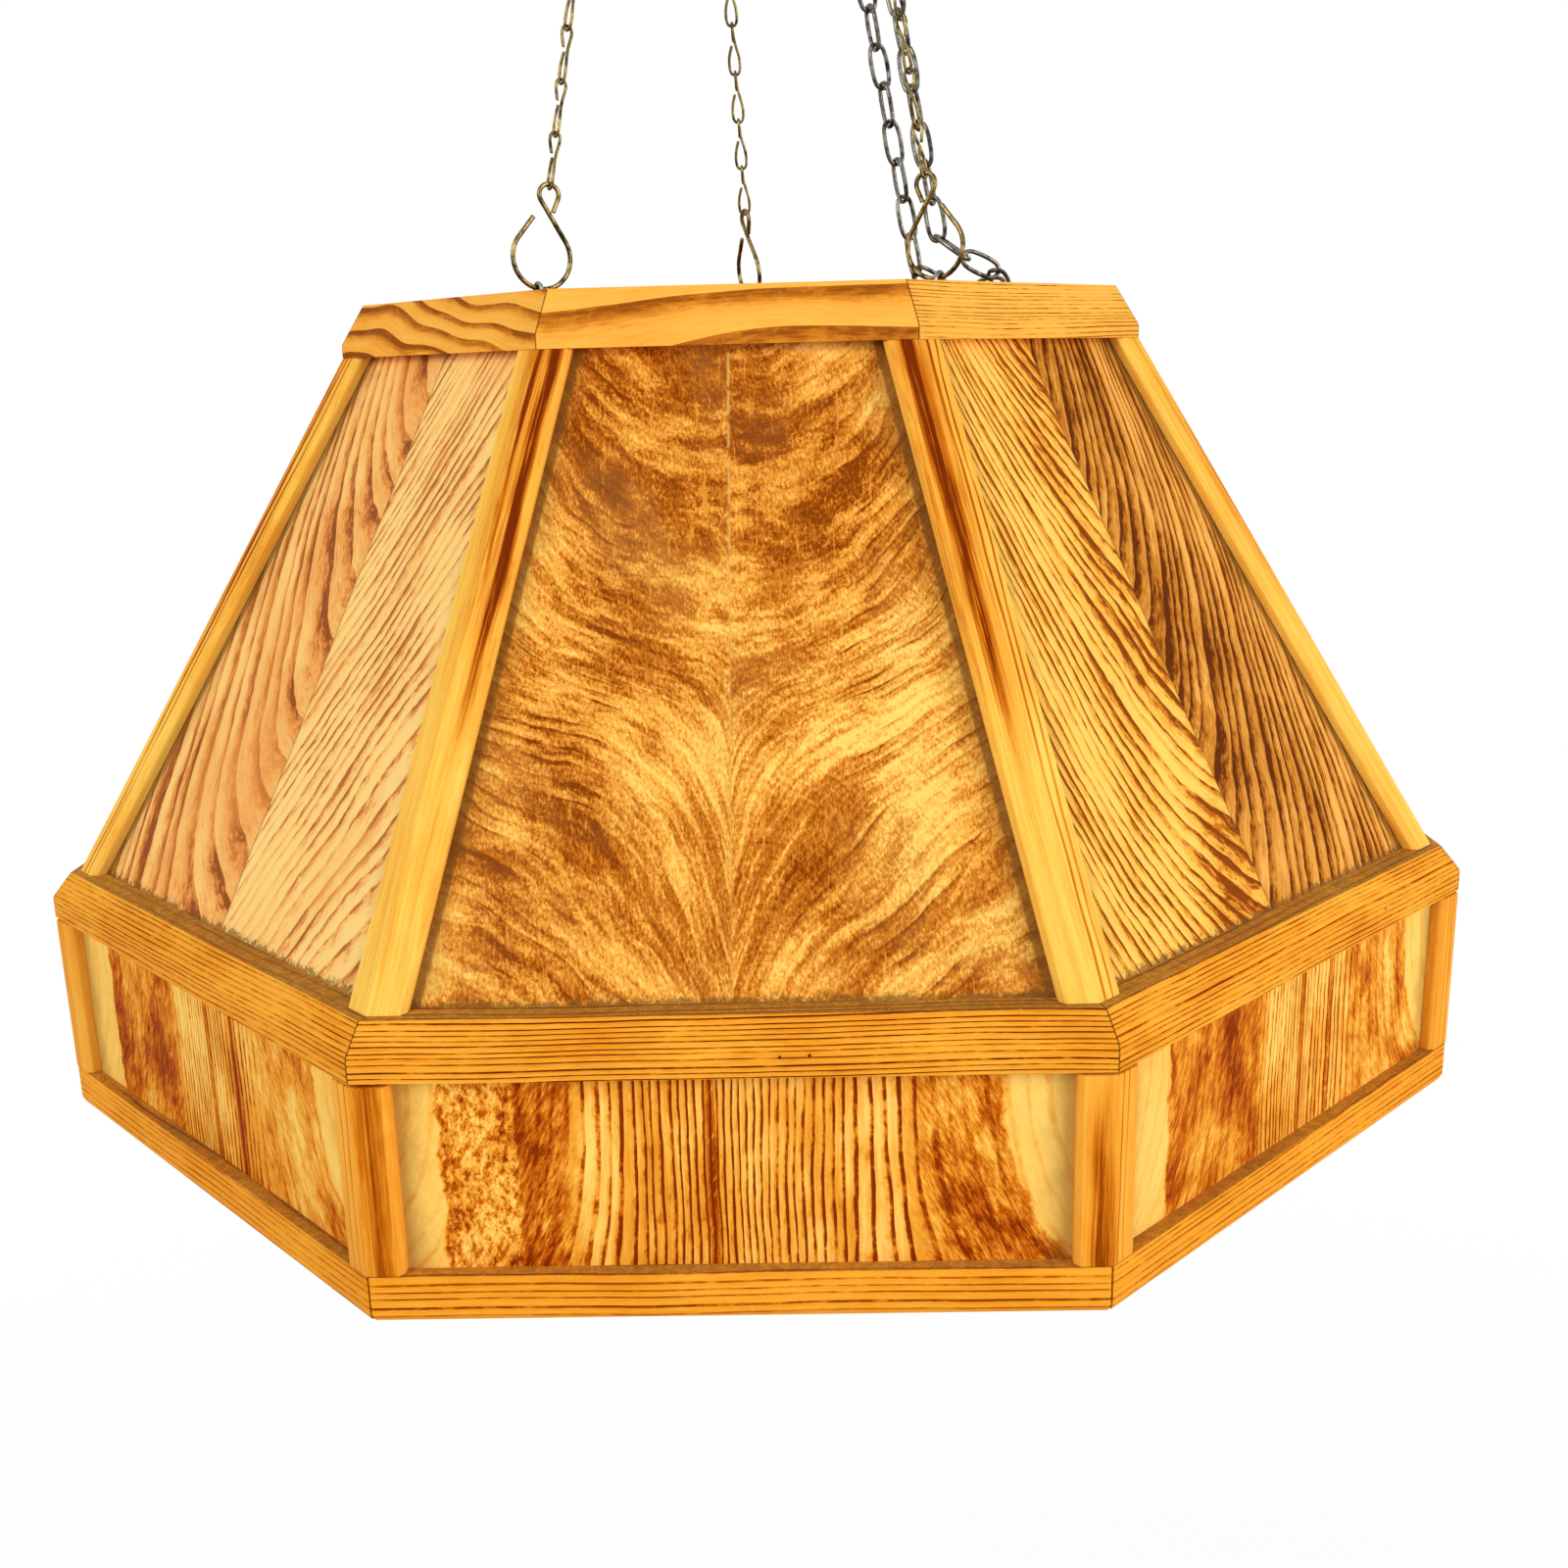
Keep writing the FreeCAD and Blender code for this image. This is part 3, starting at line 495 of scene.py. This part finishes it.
def skirt_panel(
        name, origin, right, up, seed, tones, line, clouded_from, clouding, spotted_from, pale_from,
        streaks):
    """A flat-sawn board set upright: close rings in the middle, then clouded wood and pale ends.

    line says how strong the rings are and clouding how deep and how grainy the clouded wood is. Zones begin
    at distances to the left and to the right of the middle, the spotted one to the left only. To the right
    they flare out as the rings do."""
    material, tree, shader = new_material(name)
    u, v, w = placed(tree, origin, right, up)
    fall = (SKIRT_TOP - SKIRT_FOOT) - v
    spread = fall * fall * 70
    wander = noise(tree, u * 30, v * 10, seed=seed, detail=2) - 0.5
    ripple = noise(tree, u * 240, v * 60, seed=seed, detail=2) - 0.5
    ragged = noise(tree, u * 60, v * 60, seed=seed, detail=4, rough=0.7) - 0.5
    side = u.calc("SIGN")
    left, far = FLARE_FROM
    flare = (u - far).at_least(0.0) * spread - (-left - u).at_least(0.0) * spread * 0.8
    across = u - flare + wander * 0.008 + ripple * 0.0012
    flow = across / (abs(across) * 0.02 + SKIRT_RING) * SKIRT_RING
    lines, relief = figure(
        tree, flow, v, SKIRT_RING, seed, line=line, soft=0.1, fleck=0.2, stain=0.6, spread=1.6, thin=0.66)
    slant = u + side * v * 0.5
    cloud = noise(tree, across * 55, v * 26, seed=seed, detail=6, rough=0.68) - 0.5
    wash = noise(tree, u * 45, v * 9, seed=seed + 2, detail=3).rise(0.42, 0.68)
    grain = noise(tree, slant * 700, v * 170, seed=seed, detail=4, rough=0.75) - 0.5
    spots = noise(tree, u * 330, v * 210, seed=seed + 4, detail=6, rough=0.78).rise(0.42, 0.62)
    cloud_depth, cloud_grain = clouding
    clouded = cloud * 2.6 + grain * cloud_grain + relief * 0.35 + cloud_depth - side * 0.08
    spotted = cloud * 2.2 + spots * 0.7 + grain * 1.0 + 0.18
    plain = cloud * 0.5 + grain * 0.4 + relief * 0.2 + 0.08
    to_left, to_right = ragged * 0.012 - u, across + ragged * 0.012
    left, far = clouded_from
    clouded_zone = to_left.rise(left, left + 0.012).at_least(to_right.rise(far, far + 0.016))
    spotted_zone = (ragged * 0.003 - u).rise(spotted_from, spotted_from + 0.002)
    left, far = pale_from
    pale_zone = to_left.rise(left, left + 0.003).at_least(to_right.rise(far, far + 0.004))
    depth = lines + wash * 0.28
    for zone, inside in ((clouded_zone, clouded), (spotted_zone, spotted), (pale_zone, plain)):
        depth = depth * (1 - zone) + inside * zone
    depth = depth + pale_zone * (1 - pale_zone) * 0.9
    for place in streaks:
        depth = depth + u.near(place, 0.0035) * (grain + 0.5).rise(0.3, 0.5) * 0.5
    colour = stained(tree, depth, tones)
    # darker towards the posts: painted shade in the corner, mixed with some dust
    to_post = SKIRT_FACE * HALF_SIDE - POST_LEG - abs(u) + ragged * 0.014
    colour = mixed(tree, (1 - to_post.rise(0.0, 0.014)) * outer_face(w) * 0.5, colour, GRIME_AND_SHADE)
    finish_wood(tree, shader, colour, relief * (1 - pale_zone * 0.7), SKIRT_RELIEF)
    return material


def dusted(tree, colour, x, y, z, seed, dust):
    """Dust and pale crumbs on what faces up."""
    grit = noise(tree, x * 900, y * 900, z * 900, seed=seed, detail=3, rough=0.8)
    drift = noise(tree, x * 25, y * 25, z * 25, seed=seed, detail=2)
    lump = noise(tree, x * 260, y * 260, z * 260, seed=seed + 1, detail=4, rough=0.7)
    layer = grit.rise(0.3, 0.55) * 0.35 + drift * 0.3 + lump.rise(0.35, 0.6) * 0.3
    heap = mixed(tree, lump.rise(0.45, 0.65) * 0.5, dust, GRIME_AND_SHADE)
    heap = mixed(tree, grit.rise(0.62, 0.68), heap, CRUMBS)
    return mixed(tree, facing_up(tree).rise(0.8, 0.95) * layer, colour, heap)


def frame_pine(name, seed, gap, line, tones, dust, middle_z, waves=(), nails=()):
    """Straight-grained mitred mouldings, with dust on what faces up.

    gap is the spacing of the rings and line how strong they are on the front side. Each wave gives a side
    whose rings it bends, its height, how many it has in a metre, the rings' spacing and how much they climb
    along the side. Each nail hole gives its side, its place along it and its height."""
    material, tree, shader = new_material(name)
    along, up, out, side = round_the_frame(tree)
    side_seed = side * 1.7 + seed
    height = up - middle_z
    drift = noise(tree, along * 5, 0.0, seed=side_seed, detail=1) - 0.5
    wander = noise(tree, along * 14, height * 40, out * 40, seed=side_seed, detail=2) - 0.5
    flow = height - out * 0.5 + drift * 0.008 + wander * 0.0022
    drawn = (side.near(0.0, 0.5) * 0.35 + 0.65) * line
    depth, relief = figure(
        tree, flow, along, gap, side_seed, line=drawn, soft=0.12, fleck=0.08, stain=0.5, spread=2.0,
        thin=0.73)
    for number, size, often, wide, climb in waves:
        roll = noise(tree, along * often, height * 18, seed=side_seed + 7, detail=1) - 0.5
        bent = flow + roll * size + along * climb
        waved, waved_relief = figure(
            tree, bent, along, wide, side_seed, line=0.12, soft=0.6, fleck=0.1, stain=0.5, spread=1.0,
            scale=0.7)
        here = side.near(float(number), 0.5)
        depth = depth * (1 - here) + waved * here
        relief = relief * (1 - here) + waved_relief * here
    colour = stained(tree, depth, tones)
    to_mitre = abs(along) - out * HALF_SIDE
    colour = mixed(tree, to_mitre.near(0.0, 0.0006) * 0.85, colour, MITRE)
    for number, place, level in nails:
        hole = spot(along, height, place, level, 0.001) * side.near(float(number), 0.5)
        colour = mixed(tree, hole, colour, NAIL_HOLE)
    colour = dusted(tree, colour, along, up, out, seed, dust)
    finish_wood(tree, shader, colour, relief, TRIM_RELIEF)
    return material


def plank_pine(name, seed, width, tones, dust):
    """A board of straight-grained planks side by side, with dust on top."""
    material, tree, shader = new_material(name)
    x, y, z = from_object(tree)
    plank = y / width + 0.5
    plank_seed = plank.calc("FLOOR") * 2.3 + seed
    wander = noise(tree, x * 5, y * 16, z * 16, seed=plank_seed, detail=2) - 0.5
    flow = y + z * 0.5 + wander * 0.02
    depth, relief = figure(
        tree, flow, x, PLANK_RING, plank_seed, line=0.5, soft=0.25, fleck=0.15, stain=0.6, spread=2.0,
        thin=0.72)
    joint = 1 - (0.5 - abs(plank.fract() - 0.5)).rise(0.0, 0.008)
    colour = mixed(tree, joint * 0.7, stained(tree, depth, tones), GRIME_AND_SHADE)
    colour = dusted(tree, colour, x, y, z, seed, dust)
    finish_wood(tree, shader, colour, relief - joint, TRIM_RELIEF)
    return material


def strip_pine(name, origin, right, up, seed, tones, streaks):
    """A corner moulding with its grain along it.

    Each streak gives its place and width across, where it starts and ends along the grain, and how dark
    it is."""
    material, tree, shader = new_material(name)
    u, v, w = placed(tree, origin, right, up)
    wander = noise(tree, u * 14, v * 5, w * 14, seed=seed, detail=2) - 0.5
    flow = u + w * 0.7 + wander * 0.01
    depth, relief = figure(
        tree, flow, v * 0.5, STRIP_RING, seed, line=0.06, soft=0.02, fleck=0.05, stain=0.5, spread=2.0)
    fibre = noise(tree, u * 900, v * 18, w * 900, seed=seed, detail=3, rough=0.7)
    worn = fibre.rise(0.3, 0.6) * 0.5 + 0.5
    for across, width, low, high, share in streaks:
        bent = u + (noise(tree, v * 14, 0.0, seed=seed + across * 100) - 0.5) * 0.007
        reach = v.rise(low - 0.05, low + 0.05) * (1 - v.rise(high - 0.03, high + 0.03))
        depth = depth + bent.near(across, width) * reach * worn * share
    finish_wood(tree, shader, stained(tree, depth, tones), relief, TRIM_RELIEF)
    return material


def outward(number):
    """The direction that a side faces. A half more than its number gives the corner after it."""
    turn = FRONT + number * TURN
    return Vector((math.cos(turn), math.sin(turn), 0))


def dress_panels():
    """The sloping panels and the skirt, side by side from the front on."""
    for number in range(SIDES):
        out = outward(number)
        right = UP.cross(out)
        up = UP * math.cos(LEAN) - out * math.sin(LEAN)
        origin = out * SLOPE_FOOT + UP * BAND_TOP
        name = "shade_panel_%d" % (number + 1)
        seed = 2.0 + number * 1.9
        if number in CROTCH_SIDES:
            material = crotch_panel(name + "_pine", origin, right, up, seed, **CROTCH)
        else:
            boards = SPLIT_FEATHER if number in SPLIT_SIDES else PALE_FEATHER
            material = feather_panel(name + "_pine", origin, right, up, seed, boards)
        paint(name, material)
        origin = out * SKIRT_FACE + UP * SKIRT_FOOT
        name = "skirt_panel_%d" % (number + 1)
        across = -right if number in TURNED_SIDES else right
        board = RINGED_SKIRT if number in RINGED_SIDES else CLOUDED_SKIRT
        paint(name, skirt_panel(name + "_pine", origin, across, UP, seed + 1.0, SKIRT_TONES, **board))


def dress_trim():
    """The mouldings and the top board."""
    foot, head = SLOPE_FOOT * CORNER_REACH, SLOPE_HEAD * CORNER_REACH
    for number in range(SIDES):
        out = outward(number + 0.5)
        right = UP.cross(out)
        up = (UP * (SLOPE_TOP - BAND_TOP) - out * (foot - head)).normalized()
        seed = 3.0 + number * 1.3
        name = "rib_%d" % (number + 1)
        origin = out * foot + UP * BAND_TOP
        streaks = RIB_STREAKS[number % 2]
        paint(name, strip_pine(name + "_pine", origin, right, up, seed, RIB_TONES, streaks))
        name = "post_%d" % (number + 1)
        origin = out * (SKIRT_FACE * CORNER_REACH) + UP * SKIRT_FOOT
        streaks = POST_STREAKS[number % 2]
        paint(name, strip_pine(name + "_pine", origin, right, UP, seed + 5.0, POST_TONES, streaks))
    paint("waist_band", frame_pine(
        "waist_band_pine", seed=1.0, gap=0.0022, line=0.98, tones=BAND_TONES, dust=DUST, middle_z=SKIRT_TOP,
        nails=BAND_NAILS))
    bottom_rail(frame_pine(
        "bottom_rail_pine", seed=5.0, gap=0.0031, line=0.75, tones=RAIL_TONES, dust=DUST,
        middle_z=RAIL_FOOT))
    paint("cap_moulding", frame_pine(
        "cap_moulding_pine", seed=9.0, gap=0.002, line=1.4, tones=CAP_TONES, dust=CAP_DUST, middle_z=CAP_TOP,
        waves=CAP_WAVES))
    paint("top_board", plank_pine("top_board_pine", 13.0, PLANK_WIDTH, BOARD_TONES, BOARD_DUST))


# Metal, plastic and glass

def metal_with_tarnish_and_sheen(name, bright, dull, rough, patch=160.0):
    """Metal with bright and dull patches and fine scratches. The patches are tarnish. On the chains, where
    they are small and strong, they also paint highlights and shade on the wire.
    """
    material, tree, shader = new_material(name)
    x, y, z = from_object(tree)
    tarnish_and_sheen = noise(tree, x * patch, y * patch, z * patch, detail=4, rough=0.65)
    scratch = noise(tree, x * 1800, y * 1800, z * 300, detail=2, rough=0.7)
    share = tarnish_and_sheen.rise(0.38, 0.66)
    feed(tree, shader.inputs["Base Color"], mixed(tree, share, bright, dull))
    feed(tree, shader.inputs["Roughness"], share * 0.2 + scratch * 0.12 + rough)
    shader.inputs["Metallic"].default_value = 1.0
    emboss(tree, shader, tarnish_and_sheen + scratch * 0.4, METAL_RELIEF)
    return material


def moulded(name, colour, shade, rough):
    """Pressed plastic with a slightly uneven skin."""
    material, tree, shader = new_material(name)
    x, y, z = from_object(tree)
    skin = noise(tree, x * 700, y * 700, z * 700, detail=3, rough=0.6)
    cloud = noise(tree, x * 60, y * 60, z * 60, detail=2)
    feed(tree, shader.inputs["Base Color"], mixed(tree, cloud.rise(0.35, 0.7), colour, shade))
    feed(tree, shader.inputs["Roughness"], skin * 0.15 + rough)
    emboss(tree, shader, skin, PLASTIC_RELIEF)
    return material


def frosted_glass(name):
    """Milky glass with a fine frost."""
    material, tree, shader = new_material(name)
    x, y, z = from_object(tree)
    frost = noise(tree, x * 900, y * 900, z * 900, detail=3, rough=0.6)
    feed(tree, shader.inputs["Base Color"], mixed(tree, frost, tone(250, 248, 240), tone(238, 234, 222)))
    feed(tree, shader.inputs["Roughness"], frost * 0.2 + 0.35)
    shader.inputs["Transmission Weight"].default_value = 0.6
    return material


def dress_fittings():
    """The chains, the hardware, the lampholder and the bulb."""
    # on the chains the small, strong patches are tarnish and also painted highlights and shade on the links
    brass = metal_with_tarnish_and_sheen("chain_brass", tone(142, 122, 72), tone(40, 33, 16), 0.14, 200.0)
    steel = metal_with_tarnish_and_sheen("chain_steel", tone(122, 117, 106), tone(32, 29, 25), 0.14, 180.0)
    zinc = metal_with_tarnish_and_sheen("zinc", tone(168, 166, 160), tone(108, 106, 100), 0.3)
    contact = metal_with_tarnish_and_sheen("contact_brass", tone(226, 196, 128), tone(178, 146, 84), 0.3)
    black = moulded("holder_plastic", tone(34, 32, 30), tone(24, 22, 21), 0.28)
    cream = moulded("core_plastic", tone(224, 216, 198), tone(206, 196, 176), 0.5)
    wanted = {
        brass: ("jack_chain_", "s_hook_"), steel: ("spare_chain",),
        zinc: ("ceiling_hook", "dee_ring", "screw_eyes", "nipple"),
        contact: ("holder_shell", "holder_tongue", "bulb_tip", "bulb_base"),
        black: ("holder_cap", "holder_sleeve"), cream: ("holder_core",),
        frosted_glass("bulb_glass"): ("bulb_glass",)}
    for material, starts in wanted.items():
        for name in nodes:
            if name.startswith(starts):
                paint(name, material)


# Shapes over the frame

def bottom_rail(material):
    """The bottom rail, deeper than in the CAD model: eight mitred pieces with an eased lower edge."""
    foot = RAIL_FOOT - RAIL_DROP
    back, rise = RAIL_EASE
    profile = (
        (RAIL_FACE, RAIL_TOP), (RAIL_FACE, foot + rise), (RAIL_FACE - back, foot), (RAIL_BACK, foot),
        (RAIL_BACK, RAIL_TOP))
    build = bmesh.new()
    for number in range(SIDES):
        out = outward(number)
        right = UP.cross(out)
        ends = []
        for sign in (-1, 1):
            end = []
            for depth, level in profile:
                half = depth * HALF_SIDE - MITRE_GAP
                end.append(build.verts.new(out * depth + right * (sign * half) + UP * level))
            build.faces.new(end)
            ends.append(end)
        for i in range(len(profile)):
            j = (i + 1) % len(profile)
            build.faces.new((ends[0][i], ends[0][j], ends[1][j], ends[1][i]))
    bmesh.ops.recalc_face_normals(build, faces=build.faces)
    mesh = bpy.data.meshes.new("deep_rail")
    build.to_mesh(mesh)
    build.free()
    mesh.materials.append(material)
    rail = bpy.data.objects.new("deep_rail", mesh)
    bpy.context.collection.objects.link(rail)
    round_edges(rail, RAIL_ROUND)
    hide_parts("bottom_rail")
    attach(rail, "lamp")


def round_edges(piece, width):
    """Fine round edges on a wooden piece."""
    bevel = piece.modifiers.new("soft_edges", "BEVEL")
    bevel.width = width
    bevel.segments = 2
    bevel.limit_method = "ANGLE"
    bevel.angle_limit = math.radians(30)


def soften(name):
    """Round edges on a rib or a post, whose faces are joined first."""
    weld = nodes[name].modifiers.new("weld", "WELD")
    weld.merge_threshold = WELD_REACH
    round_edges(nodes[name], TRIM_ROUND)


def round_links(name, wire):
    """Round wire in place of the flats of a chain's links."""
    chain = nodes[name]
    weld = chain.modifiers.new("weld", "WELD")
    weld.merge_threshold = wire * 0.01
    flats = chain.modifiers.new("flats", "DECIMATE")
    flats.decimate_type = "DISSOLVE"
    flats.angle_limit = math.radians(1)
    smooth = chain.modifiers.new("round", "SUBSURF")
    smooth.levels = smooth.render_levels = 2
    fuller = chain.modifiers.new("fuller", "DISPLACE")
    fuller.strength = wire * 0.11
    fuller.mid_level = 0.0


def shape():
    """Round wire on the chains and round edges on ribs and posts."""
    for name in nodes:
        if name.startswith("jack_chain_"):
            round_links(name, JACK_WIRE)
        elif name.startswith(("rib_", "post_")):
            soften(name)
    round_links("spare_chain", SPARE_WIRE)


# Stage

def shown(tree):
    """1 for rays that show the stage in the picture, in metal or in glass, and 0 for those that light."""
    ray = tree.nodes.new("ShaderNodeLightPath")
    camera_ray = Field(tree, ray.outputs["Is Camera Ray"])
    gloss = Field(tree, ray.outputs["Is Glossy Ray"])
    glass = Field(tree, ray.outputs["Is Transmission Ray"])
    return camera_ray.at_least(gloss).at_least(glass)


def blend(tree, share, first, second, end):
    """Sends two shaders to a tree's end, the second one by a share of 0 to 1."""
    mix = tree.nodes.new("ShaderNodeMixShader")
    feed(tree, mix.inputs[0], share)
    tree.links.new(first.outputs[0], mix.inputs[1])
    tree.links.new(second.outputs[0], mix.inputs[2])
    tree.links.new(mix.outputs[0], tree.nodes[end].inputs["Surface"])


def sky():
    """Soft light from all round, seen as white."""
    world = bpy.data.worlds.new("studio")
    bpy.context.scene.world = world
    world.use_nodes = True
    tree = world.node_tree
    light = tree.nodes["Background"]
    light.inputs["Color"].default_value = SKY_COLOUR
    light.inputs["Strength"].default_value = SKY_LIGHT
    seen = tree.nodes.new("ShaderNodeBackground")
    seen.inputs["Color"].default_value = WHITE
    blend(tree, shown(tree), light, seen, "World Output")


def floor():
    """A pale floor that shows a little of the shadow on it and is white far away."""
    mesh = bpy.data.meshes.new("floor")
    corners = [(x * FLOOR_REACH, y * FLOOR_REACH, 0) for x, y in ((-1, -1), (1, -1), (1, 1), (-1, 1))]
    mesh.from_pydata(corners, [], [(0, 1, 2, 3)])
    ground = bpy.data.objects.new("floor", mesh)
    ground.location.z = FLOOR_LEVEL
    bpy.context.collection.objects.link(ground)
    material, tree, shader = new_material("pale_floor")
    shader.inputs["Base Color"].default_value = FLOOR_COLOUR
    shader.inputs["Roughness"].default_value = 0.8
    glow = tree.nodes.new("ShaderNodeEmission")
    x, y, _ = from_object(tree)
    far = (x * x + y * y).calc("SQRT").rise(*SHADE_FADE)
    blend(tree, shown(tree) * (far * FLOOR_SHADE + (1 - FLOOR_SHADE)), shader, glow, "Material Output")
    mesh.materials.append(material)


def lamps():
    """Broad lamps in front on both sides and one behind."""
    for name, place, size, power in LAMPS:
        lamp = bpy.data.lights.new(name, "AREA")
        lamp.shape = "SQUARE"
        lamp.size = size
        lamp.energy = power
        holder = bpy.data.objects.new(name, lamp)
        holder.location = place
        holder.rotation_euler = (LAMP_AIM - place).to_track_quat("-Z", "Y").to_euler()
        bpy.context.collection.objects.link(holder)


def camera():
    """The photograph's camera: turned, then tipped, then rolled."""
    yaw, pitch, roll = (math.radians(angle) for angle in (CAMERA_YAW, CAMERA_PITCH, CAMERA_ROLL))
    turned = Matrix.Rotation(-yaw, 3, "Z")
    tipped = Matrix.Rotation(-pitch, 3, "X")
    rolled = Matrix.Rotation(roll, 3, "Y")
    right, forward, up = rolled @ tipped @ turned
    lens = bpy.data.cameras.new("camera")
    lens.sensor_width = CAMERA_SENSOR
    lens.lens = CAMERA_LENS
    holder = bpy.data.objects.new("camera", lens)
    facing = Matrix((right, up, -forward)).transposed()
    holder.matrix_world = Matrix.Translation(CAMERA_PLACE) @ facing.to_4x4()
    bpy.context.collection.objects.link(holder)
    bpy.context.scene.camera = holder


dress_panels()
dress_trim()
dress_fittings()
shape()
sky()
floor()
lamps()
camera()
bpy.context.scene.view_settings.view_transform = "Standard"
